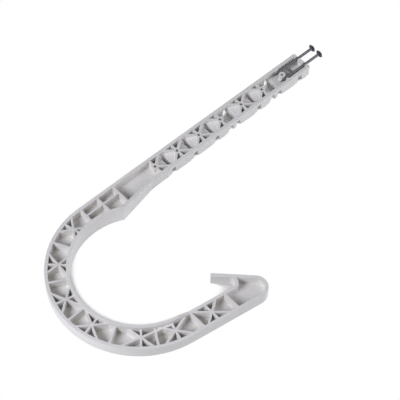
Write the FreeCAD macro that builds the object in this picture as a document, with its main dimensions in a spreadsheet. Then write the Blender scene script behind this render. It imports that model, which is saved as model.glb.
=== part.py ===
"""Pipe j-hook: a ribbed moulded hanger with two nails stored in the end of its stem.

The hook lies on its back, in mm. The origin is on the axis of the pipe cradle, +Y runs
along the stem to its nailing end, +X points to the hook's tip, +Z faces the open side.
"""
import FreeCAD
import Part
import math
import os
import Sketcher

SIZES = (
    ("cradle_radius", 45.0, "inside radius of the pipe cradle"),
    ("section_width", 16.0, "width of the stem and of the ring"),
    ("body_depth", 8.0, "depth of the channel section"),
    ("saddle_proud", 2.5, "how far the saddle stands out of each face"),
    ("saddle_wall", 2.0, "thickness of the saddle"),
    ("wall", 2.2, "thickness of the outer walls"),
    ("channel_depth", 5.8, "depth of the channel below the rim"),
    ("flare_top", 51.0, "where the throat wall leaves the stem"),
    ("kink_height", 21.1, "where the throat wall meets the cradle"),
    ("tip_lean_angle", 9.5, "outward lean of the tip, degrees"),
    ("tip_straight", 52.8, "straight length of the tip's outer wall"),
    ("tip_radius", 8.4, "round at the top of the tip"),
    ("saddle_runout", 7.0, "length of the saddle's ramp on the tip"),
    ("finger_angle", 44.0, "slope of the finger, degrees"),
    ("finger_length", 28.7, "length of the finger's upper face"),
    ("finger_thickness", 2.6, "thickness of the finger"),
    ("root_radius", 3.8, "round between finger and tip"),
    ("rib_top", 1.35, "rib thickness at the rim"),
    ("rib_foot", 1.9, "rib thickness at the floor"),
    ("first_boss", 60.5, "from the cradle axis to the first boss"),
    ("boss_pitch", 20.0, "spacing of the bosses"),
    ("end_margin", 20.0, "from the last boss to the end of the stem"),
    ("end_round", 1.0, "round at the corners of the stem's end"),
    ("hub_diameter", 4.8, "diameter of a boss"),
    ("hole_diameter", 2.3, "diameter of a nail hole"),
    ("arm_ahead_angle", 53.0, "star arms toward the nailing end, degrees from the bar"),
    ("arm_behind_angle", 48.5, "star arms toward the cradle, degrees from the bar"),
    ("groove_width", 4.4, "width of a break-off groove at the back"),
    ("groove_taper", 1.4, "how much narrower a groove is at its top"),
    ("groove_depth", 5.0, "depth of a break-off groove from the back"),
    ("tooth_width", 2.4, "tooth left between the two grooves of an open bay"),
    ("scoop_radius", 12.0, "round of the floor between two bosses"),
    ("scoop_depth", 3.2, "depth of that floor below the rim"),
    ("nail_bay_depth", 4.5, "depth of the nail bay below the rim"),
    ("grid_first", 14.6, "first cross rib behind the throat"),
    ("grid_second", 28.3, "second cross rib behind the throat"),
    ("ring_rib_first_angle", 179.5, "angle of the first ring rib, degrees"),
    ("ring_rib_step_angle", 30.0, "angle between ring ribs, degrees"),
    ("star_inset", 0.75, "ring stars, from the middle of the ring toward the cradle"),
    ("star_1_angle", 194.1, "ring star, degrees"),
    ("star_1_arm_1_angle", 46.0, "its first arm, degrees from its bar"),
    ("star_1_arm_2_angle", -46.0, "its second arm, degrees from its bar"),
    ("star_2_angle", 226.0, "ring star, degrees"),
    ("star_2_arm_1_angle", 44.0, "its first arm, degrees from its bar"),
    ("star_2_arm_2_angle", -50.0, "its second arm, degrees from its bar"),
    ("star_3_angle", 255.6, "ring star, degrees"),
    ("star_3_arm_1_angle", 51.0, "its first arm, degrees from its bar"),
    ("star_3_arm_2_angle", -52.0, "its second arm, degrees from its bar"),
    ("star_4_angle", 283.4, "ring star, degrees"),
    ("star_4_arm_1_angle", 54.0, "its first arm, degrees from its bar"),
    ("star_4_arm_2_angle", -50.0, "its second arm, degrees from its bar"),
    ("star_5_angle", 318.9, "ring star, degrees"),
    ("star_5_arm_1_angle", 51.0, "its first arm, degrees from its bar"),
    ("star_5_arm_2_angle", -65.0, "its second arm, degrees from its bar"),
    ("star_6_angle", 343.1, "ring star, degrees"),
    ("star_6_arm_1_angle", 55.0, "its first arm, degrees from its bar"),
    ("star_6_arm_2_angle", -56.0, "its second arm, degrees from its bar"),
    ("tip_rib_first", 0.0, "first cross rib of the tip"),
    ("tip_star", 10.4, "star of the tip"),
    ("tip_arm_1_angle", 48.0, "its first arm, degrees from its bar"),
    ("tip_arm_2_angle", -56.0, "its second arm, degrees from its bar"),
    ("tip_rib_last", 25.2, "last cross rib of the tip"),
    ("nail_diameter", 2.0, "nail shank"),
    ("nail_length", 41.0, "nail, head included"),
    ("nail_point", 4.0, "length of the nail's point"),
    ("nail_head_diameter", 5.75, "nail head"),
    ("nail_head_thickness", 1.2, "height of the nail's domed head"),
    ("nail_stick_out", 15.0, "how far a stored nail stands out of the stem"),
    ("nail_drop", 1.1, "nail axis below the rim"),
    ("nail_clearance", 0.1, "play round a stored nail"),
    ("nub_radius", 1.3, "pinch nub beside a stored nail"),
)
BOSSES = 7
OPEN_BAYS = (3, 5)
RING_RIBS = 6
RING_STARS = 6

doc = FreeCAD.newDocument("pipe_j_hook")
sheet = doc.addObject("Spreadsheet::Sheet", "sizes")
for row, (alias, number, note) in enumerate(SIZES, start=1):
    sheet.set(f"A{row}", note)
    sheet.set(f"B{row}", str(number))
    sheet.setAlias(f"B{row}", alias)
doc.recompute()

# Sizes that follow from the sheet, as expressions.
OUTER = "(sizes.cradle_radius + sizes.section_width)"
MIDDLE = "(sizes.cradle_radius + sizes.section_width / 2)"
SADDLE_WIDTH = "(sizes.body_depth + 2 * sizes.saddle_proud)"
BACK = "sizes.saddle_proud"
RIM = "(sizes.saddle_proud + sizes.body_depth)"
FOOT = "(sizes.saddle_proud + (sizes.body_depth - sizes.channel_depth) / 2)"
CLEAR = "(sizes.section_width / 2 - sizes.wall)"
GRIP = "(sizes.section_width / 2 - sizes.wall / 2)"
KINK_X = "sqrt(sizes.cradle_radius ^ 2 - sizes.kink_height ^ 2)"
STAR_RADIUS = f"({MIDDLE} - sizes.star_inset)"
KINK_TURN = "asin(sizes.kink_height / sizes.cradle_radius) / 1 deg"
FLARE = f"atan((sizes.cradle_radius - {KINK_X}) / (sizes.flare_top - sizes.kink_height))"
STEM_END = f"(sizes.first_boss + {BOSSES - 1} * sizes.boss_pitch + sizes.end_margin)"
NAIL_SIDE = "(sizes.hub_diameter / 2 + 2 * sizes.nail_clearance + sizes.nail_diameter / 2)"
NAIL_Z = f"({RIM} - sizes.nail_drop)"


def boss_y(index):
    return f"(sizes.first_boss + {index} * sizes.boss_pitch)"


def make(kind, name, **expressions):
    thing = doc.addObject(kind, name)
    for prop, text in expressions.items():
        thing.setExpression(prop, text)
    return thing


def place(thing, x, y, z, turn="0", tilt=None):
    """Put a thing at a point, turned about +Z; tilt first stands it up about its own X."""
    text = f"placement(vector({x}; {y}; {z}); rotation(vector(0; 0; 1); {turn}))"
    if tilt:
        text += f" * placement(vector(0; 0; 0); rotation(vector(1; 0; 0); {tilt}))"
    thing.setExpression("Placement", text)
    return thing


def box(name, x, y, z, length, width, height):
    return place(make("Part::Box", name, Length=length, Width=width, Height=height), x, y, z)


def post(name, x, y, z, radius, height):
    return place(make("Part::Cylinder", name, Radius=radius, Height=height), x, y, z)


def fuse(name, things):
    joined = doc.addObject("Part::MultiFuse", name)
    joined.Shapes = things
    return joined


def cut(name, base, tool):
    result = doc.addObject("Part::Cut", name)
    result.Base, result.Tool = base, tool
    return result


def extrude(name, sketch, height):
    solid = make("Part::Extrusion", name, LengthFwd=height)
    solid.Base, solid.Solid = sketch, True
    solid.DirMode, solid.Dir = "Custom", FreeCAD.Vector(0, 0, 1)
    return solid


class Outline:
    """A closed sketch of lines and arcs whose sizes are bound to the sheet."""

    def __init__(self, name):
        self.sketch = doc.addObject("Sketcher::SketchObject", name)

    def line(self, start, end):
        return self.sketch.addGeometry(
            Part.LineSegment(FreeCAD.Vector(*start, 0), FreeCAD.Vector(*end, 0)), False)

    def arc(self, centre, radius, start, end):
        circle = Part.Circle(FreeCAD.Vector(*centre, 0), FreeCAD.Vector(0, 0, 1), radius)
        return self.sketch.addGeometry(Part.ArcOfCircle(circle, start, end), False)

    def rule(self, kind, *refs):
        return self.sketch.addConstraint(Sketcher.Constraint(kind, *refs))

    def size(self, name, text, kind, *refs):
        self.sketch.renameConstraint(self.rule(kind, *refs), name)
        self.sketch.setExpression(f"Constraints.{name}", text)


def number(name):
    return float(getattr(sheet, name))


def stem_end():
    return number("first_boss") + (BOSSES - 1) * number("boss_pitch") + number("end_margin")


def hook_path():
    """Start values for the hook's outline, shared by its outer and its channel sketch."""
    lean, slope = math.radians(number("tip_lean_angle")), math.radians(number("finger_angle"))
    inner = number("cradle_radius")
    outer = inner + number("section_width")
    out = (math.cos(lean), -math.sin(lean))
    along = (math.sin(lean), math.cos(lean))
    back = (-math.cos(slope), -math.sin(slope))
    side = (math.sin(slope), -math.cos(slope))
    run, rise = number("tip_straight"), number("tip_radius")
    tip = tuple((outer - rise) * out[i] + run * along[i] for i in (0, 1))
    edge = tip[0] * side[0] + tip[1] * side[1] - rise
    offset = edge + number("finger_thickness") + number("root_radius")
    reach = inner - number("root_radius")
    scale = out[0] * side[1] - out[1] * side[0]
    root = ((reach * side[1] - offset * out[1]) / scale,
            (offset * out[0] - reach * side[0]) / scale)
    return lean, slope, inner, outer, out, along, back, side, tip, root


def step(point, direction, distance):
    return (point[0] + distance * direction[0], point[1] + distance * direction[1])


def outer_outline():
    lean, slope, inner, outer, out, along, back, side, tip, root = hook_path()
    top, corner = stem_end(), number("end_round")
    rise, small = number("tip_radius"), number("root_radius")
    kink_y, flare_y = number("kink_height"), number("flare_top")
    kink = (-math.sqrt(inner ** 2 - kink_y ** 2), kink_y)
    foot = step((0, 0), out, outer)
    crest = step(foot, along, number("tip_straight"))
    over = step(tip, side, -rise)
    finger = step(over, back, number("finger_length"))
    under = step(finger, side, number("finger_thickness"))
    turn = math.pi / 2 + slope
    path = Outline("hook_outline")
    left = path.line((-outer, top - corner), (-outer, 0))
    ring = path.arc((0, 0), outer, math.pi, 2 * math.pi - lean)
    shank = path.line(foot, crest)
    nose = path.arc(tip, rise, -lean, turn)
    upper = path.line(over, finger)
    end = path.line(finger, under)
    lower = path.line(under, step(root, side, -small))
    bend = path.arc(root, small, -lean, turn)
    throat = path.line(step(root, out, small), step((0, 0), out, inner))
    cradle = path.arc((0, 0), inner, math.atan2(kink[1], kink[0]), 2 * math.pi - lean)
    flare = path.line(kink, (-inner, flare_y))
    right = path.line((-inner, flare_y), (-inner, top - corner))
    near_corner = path.arc((-inner - corner, top - corner), corner, 0, math.pi / 2)
    cap = path.line((-inner - corner, top), (-outer + corner, top))
    far_corner = path.arc((-outer + corner, top - corner), corner, math.pi / 2, math.pi)
    for first, second in ((left, ring), (ring, shank), (shank, nose), (nose, upper), (right, near_corner),
                          (near_corner, cap), (cap, far_corner), (far_corner, left)):
        path.rule("Tangent", first, 2, second, 1)
    path.rule("Tangent", lower, 2, bend, 2)
    path.rule("Tangent", bend, 1, throat, 1)
    path.rule("Tangent", throat, 2, cradle, 2)
    path.rule("Coincident", cradle, 1, flare, 1)
    for first, second in ((upper, end), (end, lower), (flare, right)):
        path.rule("Coincident", first, 2, second, 1)
    path.rule("Coincident", ring, 3, -1, 1)
    path.rule("Coincident", cradle, 3, -1, 1)
    path.rule("Vertical", left)
    path.rule("Vertical", right)
    path.rule("Horizontal", cap)
    path.rule("Perpendicular", upper, end)
    path.rule("Parallel", upper, lower)
    path.rule("Parallel", shank, throat)
    path.size("outer_radius", OUTER, "Radius", ring, outer)
    path.size("cradle_radius", "sizes.cradle_radius", "Radius", cradle, inner)
    path.size("near_corner", "sizes.end_round", "Radius", near_corner, corner)
    path.size("far_corner", "sizes.end_round", "Radius", far_corner, corner)
    path.size("tip_radius", "sizes.tip_radius", "Radius", nose, rise)
    path.size("root_radius", "sizes.root_radius", "Radius", bend, small)
    path.size("lean", "(90 - sizes.tip_lean_angle) * 1 deg", "Angle", shank, math.pi / 2 - lean)
    path.size("straight", "sizes.tip_straight", "Distance", shank, number("tip_straight"))
    path.size("slope", "(sizes.finger_angle - 180) * 1 deg", "Angle", upper, slope - math.pi)
    path.size("finger", "sizes.finger_length", "Distance", upper, number("finger_length"))
    path.size("thickness", "sizes.finger_thickness", "Distance", end, number("finger_thickness"))
    path.size("kink", "sizes.kink_height", "DistanceY", -1, 1, flare, 1, kink_y)
    path.size("flare_top", "sizes.flare_top", "DistanceY", -1, 1, flare, 2, flare_y)
    path.size("stem_side", "sizes.cradle_radius", "DistanceX", right, 1, -1, 1, inner)
    path.size("stem_end", STEM_END, "DistanceY", -1, 1, cap, 1, top)
    return path.sketch


def channel_outline():
    lean, slope, inner, outer, out, along, back, side, tip, root = hook_path()
    wall, saddle = number("wall"), number("saddle_wall")
    top, flare_y, kink_y = stem_end() - wall, number("flare_top"), number("kink_height")
    near, far, right_x = inner + saddle, outer - wall, inner + wall
    rise, small = number("tip_radius") - wall, number("root_radius") + saddle
    gap = number("finger_thickness") + number("root_radius") - wall
    foot = step((0, 0), out, far)
    over = step(tip, side, -rise)
    apex = step(step(root, side, -gap), back, -math.sqrt(small ** 2 - gap ** 2))
    lean_in = (inner - math.sqrt(inner ** 2 - kink_y ** 2)) / (flare_y - kink_y)
    half = (right_x * lean_in + flare_y) / (lean_in ** 2 + 1)
    drop = half - math.sqrt(half ** 2 - (right_x ** 2 + flare_y ** 2 - near ** 2) / (lean_in ** 2 + 1))
    kink = (drop * lean_in - right_x, flare_y - drop)
    path = Outline("channel_outline")
    left = path.line((-far, top), (-far, 0))
    ring = path.arc((0, 0), far, math.pi, 2 * math.pi - lean)
    shank = path.line(foot, step(foot, along, number("tip_straight")))
    nose = path.arc(tip, rise, -lean, math.pi / 2 + slope)
    upper = path.line(over, apex)
    bend = path.arc(root, small, -lean, math.atan2(apex[1] - root[1], apex[0] - root[0]))
    throat = path.line(step(root, out, small), step((0, 0), out, near))
    cradle = path.arc((0, 0), near, math.atan2(kink[1], kink[0]), 2 * math.pi - lean)
    flare = path.line(kink, (-right_x, flare_y))
    right = path.line((-right_x, flare_y), (-right_x, top))
    cap = path.line((-right_x, top), (-far, top))
    for first, second in ((left, ring), (ring, shank), (shank, nose), (nose, upper)):
        path.rule("Tangent", first, 2, second, 1)
    path.rule("Coincident", upper, 2, bend, 2)
    path.rule("Tangent", bend, 1, throat, 1)
    path.rule("Tangent", throat, 2, cradle, 2)
    path.rule("Coincident", cradle, 1, flare, 1)
    for first, second in ((flare, right), (right, cap), (cap, left)):
        path.rule("Coincident", first, 2, second, 1)
    path.rule("Coincident", ring, 3, -1, 1)
    path.rule("Coincident", cradle, 3, -1, 1)
    path.rule("Vertical", left)
    path.rule("Vertical", right)
    path.rule("Horizontal", cap)
    path.rule("Parallel", shank, throat)
    path.size("outer_radius", f"{OUTER} - sizes.wall", "Radius", ring, far)
    path.size("inner_radius", "sizes.cradle_radius + sizes.saddle_wall", "Radius", cradle, near)
    path.size("tip_radius", "sizes.tip_radius - sizes.wall", "Radius", nose, rise)
    path.size("root_radius", "sizes.root_radius + sizes.saddle_wall", "Radius", bend, small)
    path.size("root_gap", "sizes.finger_thickness + sizes.root_radius - sizes.wall",
              "Distance", bend, 3, upper, gap)
    path.size("lean", "(90 - sizes.tip_lean_angle) * 1 deg", "Angle", shank, math.pi / 2 - lean)
    path.size("straight", "sizes.tip_straight", "Distance", shank, number("tip_straight"))
    path.size("slope", "(sizes.finger_angle - 180) * 1 deg", "Angle", upper, slope - math.pi)
    path.size("flare", f"90 deg + {FLARE}", "Angle", flare, math.pi / 2 + math.atan(lean_in))
    path.size("flare_top", "sizes.flare_top", "DistanceY", -1, 1, flare, 2, flare_y)
    path.size("stem_side", "sizes.cradle_radius + sizes.wall", "DistanceX", right, 1, -1, 1, right_x)
    path.size("stem_end", f"{STEM_END} - sizes.wall", "DistanceY", -1, 1, cap, 1, top)
    return path.sketch


def rib(name, x, y, turn, before, after):
    """A drafted rib through a point, from the floor to the rim, turned about +Z."""
    thing = make("Part::Wedge", name, Xmin=f"-({before})", Xmax=after, X2min=f"-({before})", X2max=after,
                 Ymax=f"{RIM} - {FOOT}", Zmin="-sizes.rib_foot / 2", Zmax="sizes.rib_foot / 2",
                 Z2min="-sizes.rib_top / 2", Z2max="sizes.rib_top / 2")
    thing.Ymin = 0
    return place(thing, x, y, FOOT, turn, "90")


def ring_rib(name, radius, angle, turn="0"):
    """A rib between the ring's walls through a point of the ring, turned away from the radius."""
    inner = "(sizes.cradle_radius + sizes.saddle_wall / 2)"
    outer = f"({OUTER} - sizes.wall / 2)"
    radial = f"{radius} * cos(({turn}) * 1 deg)"
    before = f"{radial} - sqrt(max(1; ({radial}) ^ 2 + {inner} ^ 2 - {radius} ^ 2))"
    after = f"sqrt(({radial}) ^ 2 + {outer} ^ 2 - {radius} ^ 2) - {radial}"
    x, y = f"{radius} * cos(({angle}) * 1 deg)", f"{radius} * sin(({angle}) * 1 deg)"
    return rib(name, x, y, f"{angle} + {turn}", before, after)


def tip_rib(name, y, turn="0"):
    """A rib across the straight tip at a height, turned away from +X."""
    x = f"({MIDDLE} + {y} * sin(sizes.tip_lean_angle * 1 deg)) / cos(sizes.tip_lean_angle * 1 deg)"
    half = f"{GRIP} / cos((sizes.tip_lean_angle + {turn}) * 1 deg)"
    return rib(name, x, y, turn, half, half)


def stem_arm(name, index, turn):
    """A star arm from a boss of the stem to a side wall."""
    return rib(name, f"-{MIDDLE}", boss_y(index), turn, "0", f"{GRIP} / abs(cos(({turn}) * 1 deg))")


def bay_floor(index):
    """The scooped floor between two bosses, inside the arms of their stars."""
    pitch, grip = number("boss_pitch"), number("section_width") / 2 - number("wall") / 2
    low = grip * math.tan(math.radians(number("arm_ahead_angle")))
    high = pitch - grip * math.tan(math.radians(number("arm_behind_angle")))
    path = Outline(f"bay_outline_{index + 1}")
    corners = ((0, 0), (grip, low), (grip, high), (0, pitch), (-grip, high), (-grip, low))
    lines = [path.line(corners[i], corners[(i + 1) % 6]) for i in range(6)]
    for i in range(6):
        path.rule("Coincident", lines[i], 2, lines[(i + 1) % 6], 1)
    path.rule("Coincident", lines[0], 1, -1, 1)
    path.rule("PointOnObject", lines[3], 1, -2)
    path.rule("Vertical", lines[1])
    path.rule("Symmetric", lines[1], 1, lines[5], 1, -2)
    path.rule("Symmetric", lines[2], 1, lines[4], 1, -2)
    path.size("side", GRIP, "DistanceX", -1, 1, lines[1], 1, grip)
    path.size("low", f"{GRIP} * tan(sizes.arm_ahead_angle * 1 deg)", "DistanceY", -1, 1, lines[1], 1, low)
    path.size("high", f"sizes.boss_pitch - {GRIP} * tan(sizes.arm_behind_angle * 1 deg)",
              "DistanceY", -1, 1, lines[1], 2, high)
    path.size("pitch", "sizes.boss_pitch", "DistanceY", -1, 1, lines[3], 1, pitch)
    place(path.sketch, f"-{MIDDLE}", boss_y(index), FOOT)
    block = extrude(f"bay_block_{index + 1}", path.sketch, f"{RIM} - {FOOT}")
    scoop = make("Part::Cylinder", f"bay_scoop_{index + 1}", Radius="sizes.scoop_radius",
                 Height="sizes.section_width")
    scoop.setExpression("Placement", (
        f"placement(vector(-{OUTER}; {boss_y(index + 0.5)}; {RIM} - sizes.scoop_depth + sizes.scoop_radius);"
        " rotation(vector(0; 1; 0); 90))"))
    return cut(f"bay_floor_{index + 1}", block, scoop)


def groove(name, y, width):
    """A break-off groove across the back of the stem, narrower toward its top."""
    side = "(sizes.section_width / 2 + sizes.wall)"
    mouth = f"({width} + sizes.groove_taper * sizes.wall / sizes.groove_depth) / 2"
    top = f"({width} - sizes.groove_taper) / 2"
    thing = make("Part::Wedge", name, Xmin=f"-{side}", Xmax=side, X2min=f"-{side}", X2max=side,
                 Ymin="-sizes.wall", Ymax="sizes.groove_depth",
                 Zmin=f"-{mouth}", Zmax=mouth, Z2min=f"-{top}", Z2max=top)
    return place(thing, f"-{MIDDLE}", y, BACK, "0", "90")


# The channel section that runs along the stem, round the ring and up the tip.
outline = outer_outline()
doc.recompute()
plate = place(extrude("plate", outline, "sizes.body_depth"), "0", "0", BACK)
channel = extrude("channel", channel_outline(), "sizes.channel_depth + sizes.wall")
place(channel, "0", "0", f"{RIM} - sizes.channel_depth")
shell = cut("shell", plate, channel)

# The saddle: a proud band round the cradle that ramps down on the throat wall and on the tip.
band_disc = make("Part::Cylinder", "band_disc", Radius="sizes.cradle_radius + sizes.saddle_wall",
                 Height=SADDLE_WIDTH, Angle=f"184 - sizes.tip_lean_angle + {KINK_TURN}")
place(band_disc, "0", "0", "0", f"176 - {KINK_TURN}")
band_bore = post("band_bore", "0", "0", "-sizes.wall", "sizes.cradle_radius",
                 f"{SADDLE_WIDTH} + 2 * sizes.wall")
band = cut("saddle_band", band_disc, band_bore)
tip_ramp = make("Part::Wedge", "tip_ramp", Xmin="sizes.cradle_radius", X2min="sizes.cradle_radius",
                Xmax="sizes.cradle_radius + sizes.saddle_wall",
                X2max="sizes.cradle_radius + sizes.saddle_wall",
                Ymax="sizes.saddle_runout", Zmax=SADDLE_WIDTH, Z2min=BACK, Z2max=RIM)
tip_ramp.Ymin, tip_ramp.Zmin = 0, 0
place(tip_ramp, "0", "0", "0", "-sizes.tip_lean_angle")
throat_ramp = make("Part::Wedge", "throat_ramp", Xmin="-sizes.wall", X2min="-sizes.wall",
                   Ymin="-sizes.saddle_wall", Zmax=SADDLE_WIDTH, Z2min=BACK, Z2max=RIM,
                   Ymax=f"(sizes.flare_top - sizes.kink_height) / cos({FLARE})")
throat_ramp.Xmax, throat_ramp.X2max, throat_ramp.Zmin = 0, 0, 0
place(throat_ramp, f"-{KINK_X}", "sizes.kink_height", "0", f"{FLARE} / 1 deg")
saddle_limit = extrude("saddle_limit", outline, SADDLE_WIDTH)
saddle = doc.addObject("Part::Common", "saddle")
saddle.Base, saddle.Tool = fuse("saddle_parts", [band, tip_ramp, throat_ramp]), saddle_limit

# The lattice of ribs in the ring, behind the throat and in the tip.
lattice = []
for i in range(RING_RIBS):
    at = f"(sizes.ring_rib_first_angle + {i} * sizes.ring_rib_step_angle)"
    lattice.append(ring_rib(f"ring_rib_{i + 1}", MIDDLE, at))
for i in range(RING_STARS):
    at = f"sizes.star_{i + 1}_angle"
    lattice.append(ring_rib(f"ring_star_{i + 1}_bar", STAR_RADIUS, at))
    for arm in (f"star_{i + 1}_arm_1", f"star_{i + 1}_arm_2"):
        lattice.append(ring_rib(f"ring_{arm}", STAR_RADIUS, at, f"sizes.{arm}_angle"))
lattice.append(tip_rib("tip_rib_1", "sizes.tip_rib_first"))
lattice.append(tip_rib("tip_star_bar", "sizes.tip_star"))
lattice.append(tip_rib("tip_star_arm_1", "sizes.tip_star", "sizes.tip_arm_1_angle"))
lattice.append(tip_rib("tip_star_arm_2", "sizes.tip_star", "sizes.tip_arm_2_angle"))
lattice.append(tip_rib("tip_rib_2", "sizes.tip_rib_last"))
throat_x = "sqrt((sizes.cradle_radius + sizes.saddle_wall / 2) ^ 2 - sizes.grid_first ^ 2)"
lattice.append(rib("grid_rib_1", f"-{MIDDLE}", "sizes.grid_first", "0", GRIP, f"{MIDDLE} - {throat_x}"))
lattice.append(rib("grid_rib_2", f"-{MIDDLE}", "sizes.grid_second", "0", GRIP,
                   f"{GRIP} + (sizes.flare_top - sizes.grid_second) * tan({FLARE})"))
lattice.append(rib("grid_spine", f"-{MIDDLE}", "0", "90", "0", "sizes.grid_second"))

# The stars, bosses and scooped floors of the stem.
for i in range(BOSSES - 1):
    lattice.append(rib(f"stem_bar_{i + 1}", f"-{MIDDLE}", boss_y(i), "0", GRIP, GRIP))
    if i not in OPEN_BAYS:
        lattice.append(stem_arm(f"stem_star_{i + 1}_arm_1", i, "sizes.arm_ahead_angle"))
        lattice.append(stem_arm(f"stem_star_{i + 1}_arm_2", i, "(180 - sizes.arm_ahead_angle)"))
    if i > 0:
        lattice.append(stem_arm(f"stem_star_{i + 1}_arm_3", i, "(180 + sizes.arm_behind_angle)"))
        lattice.append(stem_arm(f"stem_star_{i + 1}_arm_4", i, "-sizes.arm_behind_angle"))
for i in range(BOSSES - 2):
    lattice.append(bay_floor(i))
lattice.append(box("nail_bay_floor", f"-{MIDDLE} - {GRIP}", boss_y(BOSSES - 2), FOOT, f"2 * {GRIP}",
                   f"{STEM_END} - sizes.wall / 2 - {boss_y(BOSSES - 2)}",
                   f"{RIM} - sizes.nail_bay_depth - {FOOT}"))
ribbed = fuse("ribbed", [shell, saddle] + lattice)

# Break-off grooves across the back of the stem; two bays have a second groove and no floor.
grooves = [groove(f"groove_{i + 1}", boss_y(i + 0.5), "sizes.groove_width") for i in range(BOSSES)]
for i in OPEN_BAYS:
    start = f"({boss_y(i)} + 0.4 * sizes.rib_top)"
    end = f"({boss_y(i + 0.5)} + sizes.groove_width / 2)"
    width = f"({end} - {start} - sizes.groove_width - sizes.tooth_width)"
    grooves.append(groove(f"second_groove_{i + 1}", f"({start} + {width} / 2)", width))
    grooves.append(box(f"open_bay_{i + 1}", f"-{MIDDLE} - {CLEAR}", start, "0",
                       f"2 * {CLEAR}", f"{end} - {start}", SADDLE_WIDTH))
grooved = cut("grooved", ribbed, fuse("grooves", grooves))

# Bosses, and the nubs that pinch the stored nails; then nail holes and nail slots.
added = [post(f"boss_{i + 1}", f"-{MIDDLE}", boss_y(i), BACK, "sizes.hub_diameter / 2", "sizes.body_depth")
         for i in range(BOSSES)]
for i, side in enumerate((-1, 1), start=1):
    added.append(post(f"pinch_nub_{i}", f"-{MIDDLE} + {side} * {CLEAR}", boss_y(BOSSES - 1),
                      FOOT, "sizes.nub_radius", f"{RIM} - {FOOT}"))
cuts = [post(f"nail_hole_{i + 1}", f"-{MIDDLE}", boss_y(i), "0", "sizes.hole_diameter / 2", SADDLE_WIDTH)
        for i in range(BOSSES)]
slot = "(sizes.nail_diameter / 2 + sizes.nail_clearance)"
point_y = f"({STEM_END} + sizes.nail_stick_out - sizes.nail_length)"
for i, side in enumerate((-1, 1), start=1):
    x = f"(-{MIDDLE} + {side} * {NAIL_SIDE})"
    length = f"{STEM_END} + sizes.wall - {point_y}"
    cuts.append(place(make("Part::Cylinder", f"nail_groove_{i}", Radius=slot, Height=length),
                      x, point_y, NAIL_Z, "0", "-90"))
    cuts.append(box(f"nail_slot_{i}", f"{x} - {slot}", point_y, NAIL_Z, f"2 * {slot}", length, SADDLE_WIDTH))

hook = cut("hook_body", fuse("bossed", [grooved] + added), fuse("nail_cuts", cuts))
hook.Label = "hook_body"
hook.Refine = True


def nail_profile():
    """Half of a nail, its axis along +Y from the point at the origin to the domed head."""
    half, head = number("nail_diameter") / 2, number("nail_head_diameter") / 2
    length, rise, taper = number("nail_length"), number("nail_head_thickness"), number("nail_point")
    dome = (head ** 2 + rise ** 2) / (2 * rise)
    path = Outline("nail_profile")
    axis = path.line((0, length), (0, 0))
    point = path.line((0, 0), (half, taper))
    shank = path.line((half, taper), (half, length - rise))
    under = path.line((half, length - rise), (head, length - rise))
    crown = path.arc((0, length - dome), dome, math.asin((dome - rise) / dome), math.pi / 2)
    for first, second in ((axis, point), (point, shank), (shank, under), (under, crown), (crown, axis)):
        path.rule("Coincident", first, 2, second, 1)
    path.rule("Coincident", axis, 2, -1, 1)
    path.rule("Vertical", axis)
    path.rule("Vertical", shank)
    path.rule("Horizontal", under)
    path.rule("PointOnObject", crown, 3, -2)
    path.size("length", "sizes.nail_length", "DistanceY", axis, 2, axis, 1, length)
    path.size("point", "sizes.nail_point", "DistanceY", point, 1, point, 2, taper)
    path.size("shank", "sizes.nail_diameter / 2", "DistanceX", point, 1, point, 2, half)
    path.size("head", "sizes.nail_head_diameter / 2", "DistanceX", axis, 2, under, 2, head)
    path.size("rise", "sizes.nail_head_thickness", "DistanceY", under, 2, axis, 1, rise)
    return path.sketch


def nail(index, side, profile):
    """A stored nail, its point toward the last boss and its head beyond the stem's end."""
    whole = doc.addObject("Part::Revolution", f"nail_{index}")
    whole.Source, whole.Solid, whole.Axis = profile, True, FreeCAD.Vector(0, 1, 0)
    whole.Label = f"nail_{index}"
    return place(whole, f"(-{MIDDLE} + {side} * {NAIL_SIDE})", point_y, NAIL_Z)


profile = nail_profile()
nodes = [hook] + [nail(i, side, profile) for i, side in enumerate((-1, 1), start=1)]
doc.recompute()

for thing in doc.Objects:
    if "Invalid" in thing.State or "Error" in thing.State:
        raise RuntimeError(f"{thing.Name} did not recompute")
os.makedirs("parts", exist_ok=True)
for node in nodes:
    if node.Shape.isNull() or not node.Shape.isValid() or len(node.Shape.Solids) != 1:
        raise RuntimeError(f"{node.Label} is not one valid solid")
    node.Shape.exportStep(f"parts/{node.Label}.step")
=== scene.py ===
import math

import bpy
from mathutils import Euler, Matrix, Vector

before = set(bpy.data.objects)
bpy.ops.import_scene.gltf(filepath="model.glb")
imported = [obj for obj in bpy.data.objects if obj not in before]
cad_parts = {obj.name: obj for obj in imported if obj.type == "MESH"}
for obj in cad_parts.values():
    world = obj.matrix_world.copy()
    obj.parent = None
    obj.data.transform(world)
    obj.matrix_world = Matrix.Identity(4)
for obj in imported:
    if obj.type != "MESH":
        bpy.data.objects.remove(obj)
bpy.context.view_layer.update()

MM = 0.001

# Looks
PLASTIC = (0.730, 0.710, 0.670, 1), (0.770, 0.750, 0.710, 1)
PLASTIC_ROUGHNESS = 0.40, 0.52
STEEL = (0.055, 0.055, 0.062, 1), (0.135, 0.135, 0.148, 1)
STEEL_ROUGHNESS = 0.46, 0.62
STREAKS_PER_METRE = (1500.0, 90.0, 1500.0)
BUMP_HEIGHT = 0.05 * MM
WHITE = (1, 1, 1, 1)

# Floor: where less than the first share of the air above it is open it shows its shade, past the second it is white
FLOOR = (0.80, 0.785, 0.77, 1)
FLOOR_SIZE = 8.0
FLOOR_DROP = 0.05 * MM
SHADE_REACH = 15 * MM
SHADE_LEAN = {"X": 0.50, "Y": -0.40, "Z": 0.77}
SHADE_ENDS = 0.53, 0.64

# Lamps
LAMP_COLOUR = (0.885, 0.90, 1.0)
LAMP_DISTANCE = 1.2
LAMP_SIZE = 0.6
LAMP_AIM = Vector((0, 60 * MM, 0))
SKY_FILL = 0.06

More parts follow.
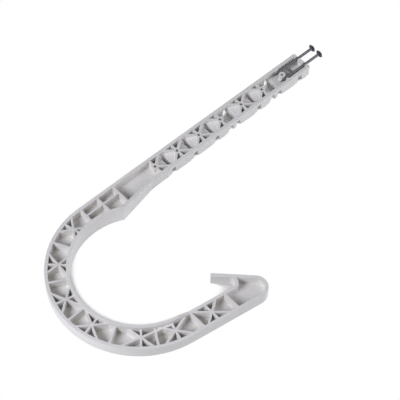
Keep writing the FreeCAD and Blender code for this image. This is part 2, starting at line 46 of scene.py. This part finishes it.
# Camera at the photograph's viewing angle
CAMERA_PLACE = (0.387975, -0.324256, 0.781171)
CAMERA_TURN = (35.86635, -0.77282, 46.97292)
LENS_MM = 130.107
SENSOR_MM = 36.0


# Node helpers

def new_material(name):
    """An empty node material with its output."""
    material = bpy.data.materials.new(name)
    material.use_nodes = True
    tree = material.node_tree
    tree.nodes.clear()
    out = tree.nodes.new("ShaderNodeOutputMaterial")
    return material, tree, out


def add(tree, kind, **sockets):
    """A node with its input sockets set by name, spaces written as underscores."""
    node = tree.nodes.new(kind)
    for name, value in sockets.items():
        node.inputs[name.replace("_", " ")].default_value = value
    return node


def ramp(tree, factor, colours):
    """A colour that runs between two others as a factor around a half grows."""
    node = tree.nodes.new("ShaderNodeValToRGB")
    for stop, place, colour in zip(node.color_ramp.elements, (0.3, 0.7), colours):
        stop.position, stop.color = place, colour
    tree.links.new(factor, node.inputs["Fac"])
    return node.outputs["Color"]


def spread(tree, factor, ends):
    """A factor around a half, mapped to a range of numbers."""
    node = add(tree, "ShaderNodeMapRange", From_Min=0.25, From_Max=0.75, To_Min=ends[0], To_Max=ends[1])
    tree.links.new(factor, node.inputs["Value"])
    return node.outputs["Result"]


def combine(tree, operation, first, second):
    """One value made of two by a sum on them."""
    node = tree.nodes.new("ShaderNodeMath")
    node.operation = operation
    tree.links.new(first, node.inputs[0])
    tree.links.new(second, node.inputs[1])
    return node.outputs["Value"]


def blend(tree, factor, first, second):
    """One shader that gives way to another as a factor grows."""
    node = tree.nodes.new("ShaderNodeMixShader")
    tree.links.new(factor, node.inputs["Fac"])
    tree.links.new(first, node.inputs[1])
    tree.links.new(second, node.inputs[2])
    return node.outputs["Shader"]


def seen_directly(tree):
    """One for rays that show the background: from the camera, a gloss or glass."""
    path = tree.nodes.new("ShaderNodeLightPath")
    total = path.outputs["Is Camera Ray"]
    for name in ("Is Glossy Ray", "Is Transmission Ray"):
        total = combine(tree, "MAXIMUM", total, path.outputs[name])
    return total


# Materials

def moulded_plastic():
    """Pale grey moulded plastic: faint cloudiness, fine mould texture, edges a little rounded."""
    material, tree, out = new_material("hook_plastic")
    link = tree.links.new
    place = add(tree, "ShaderNodeTexCoord").outputs["Object"]
    cloud = add(tree, "ShaderNodeTexNoise", Scale=45.0, Detail=3.0, Roughness=0.6)
    grain = add(tree, "ShaderNodeTexNoise", Scale=1600.0, Detail=2.0, Roughness=0.5)
    for texture in (cloud, grain):
        link(place, texture.inputs["Vector"])
    edge = add(tree, "ShaderNodeBevel", Radius=0.4 * MM)
    edge.samples = 6
    bump = add(tree, "ShaderNodeBump", Strength=0.12, Distance=BUMP_HEIGHT)
    link(grain.outputs["Fac"], bump.inputs["Height"])
    link(edge.outputs["Normal"], bump.inputs["Normal"])
    shader = add(tree, "ShaderNodeBsdfPrincipled", IOR=1.49)
    link(ramp(tree, cloud.outputs["Fac"], PLASTIC), shader.inputs["Base Color"])
    link(spread(tree, cloud.outputs["Fac"], PLASTIC_ROUGHNESS), shader.inputs["Roughness"])
    link(bump.outputs["Normal"], shader.inputs["Normal"])
    link(shader.outputs["BSDF"], out.inputs["Surface"])
    return material


def dark_steel():
    """Dark drawn steel: streaks along the wire, uneven sheen."""
    material, tree, out = new_material("nail_steel")
    link = tree.links.new
    place = add(tree, "ShaderNodeTexCoord").outputs["Object"]
    along = add(tree, "ShaderNodeMapping", Scale=STREAKS_PER_METRE)
    link(place, along.inputs["Vector"])
    streak = add(tree, "ShaderNodeTexNoise", Scale=1.0, Detail=3.0, Roughness=0.6)
    link(along.outputs["Vector"], streak.inputs["Vector"])
    bump = add(tree, "ShaderNodeBump", Strength=0.25, Distance=BUMP_HEIGHT)
    link(streak.outputs["Fac"], bump.inputs["Height"])
    shader = add(tree, "ShaderNodeBsdfPrincipled", Metallic=0.85)
    link(ramp(tree, streak.outputs["Fac"], STEEL), shader.inputs["Base Color"])
    link(spread(tree, streak.outputs["Fac"], STEEL_ROUGHNESS), shader.inputs["Roughness"])
    link(bump.outputs["Normal"], shader.inputs["Normal"])
    link(shader.outputs["BSDF"], out.inputs["Surface"])
    return material


def pale_floor():
    """White floor that keeps the contact shadow under the hook."""
    material, tree, out = new_material("pale_floor")
    # Its white is only seen and lights nothing, so it isn't sampled as a lamp
    material.cycles.emission_sampling = "NONE"
    link = tree.links.new
    matt = add(tree, "ShaderNodeBsdfDiffuse", Color=FLOOR)
    white = add(tree, "ShaderNodeEmission", Color=WHITE, Strength=1.0)
    near = add(tree, "ShaderNodeAmbientOcclusion", Distance=SHADE_REACH)
    near.samples = 48
    lean = add(tree, "ShaderNodeCombineXYZ", **SHADE_LEAN)
    link(lean.outputs["Vector"], near.inputs["Normal"])
    open_floor = add(tree, "ShaderNodeMapRange", From_Min=SHADE_ENDS[0], From_Max=SHADE_ENDS[1])
    open_floor.interpolation_type = "SMOOTHSTEP"
    link(near.outputs["AO"], open_floor.inputs["Value"])
    shown = combine(tree, "MULTIPLY", open_floor.outputs["Result"], seen_directly(tree))
    link(blend(tree, shown, matt.outputs["BSDF"], white.outputs["Emission"]), out.inputs["Surface"])
    return material


def dress(node, material):
    """Gives a CAD node its one material."""
    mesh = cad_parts[node].data
    mesh.materials.clear()
    mesh.materials.append(material)


dress("hook_body", moulded_plastic())
steel = dark_steel()
for nail in ("nail_1", "nail_2"):
    dress(nail, steel)


# Floor and light

bpy.ops.mesh.primitive_plane_add(size=FLOOR_SIZE, location=(0, 0, -FLOOR_DROP))
floor = bpy.context.object
floor.name = "floor"
floor.data.materials.append(pale_floor())

world = bpy.data.worlds.new("studio")
bpy.context.scene.world = world
world.use_nodes = True
sky = world.node_tree
sky.nodes.clear()
sky_out = sky.nodes.new("ShaderNodeOutputWorld")
fill = add(sky, "ShaderNodeBackground", Color=(*LAMP_COLOUR, 1), Strength=SKY_FILL)
backdrop = add(sky, "ShaderNodeBackground", Color=WHITE, Strength=1.0)
sky.links.new(blend(sky, seen_directly(sky), fill.outputs["Background"], backdrop.outputs["Background"]),
              sky_out.inputs["Surface"])


def softbox(name, azimuth, elevation, watts):
    """A round soft lamp, placed by its angles as seen from the middle of the part."""
    lamp = bpy.data.lights.new(name, "AREA")
    lamp.energy, lamp.shape, lamp.size, lamp.color = watts, "DISK", LAMP_SIZE, LAMP_COLOUR
    box = bpy.data.objects.new(name, lamp)
    bpy.context.scene.collection.objects.link(box)
    turn = Euler((0, -math.radians(elevation), math.radians(azimuth))).to_matrix()
    away = turn @ Vector((LAMP_DISTANCE, 0, 0))
    box.location = LAMP_AIM + away
    box.rotation_euler = away.to_track_quat("Z", "Y").to_euler()


softbox("key", azimuth=264, elevation=37, watts=12.4)
softbox("side", azimuth=46, elevation=16, watts=7.7)
softbox("back", azimuth=45, elevation=45, watts=2.2)

lens = bpy.data.cameras.new("camera")
lens.sensor_width, lens.lens = SENSOR_MM, LENS_MM
lens.clip_start, lens.clip_end = 0.01, 20.0
camera = bpy.data.objects.new("camera", lens)
bpy.context.scene.collection.objects.link(camera)
camera.location = CAMERA_PLACE
camera.rotation_euler = Euler([math.radians(angle) for angle in CAMERA_TURN], "XYZ")
bpy.context.scene.camera = camera
bpy.context.scene.view_settings.view_transform = "Standard"
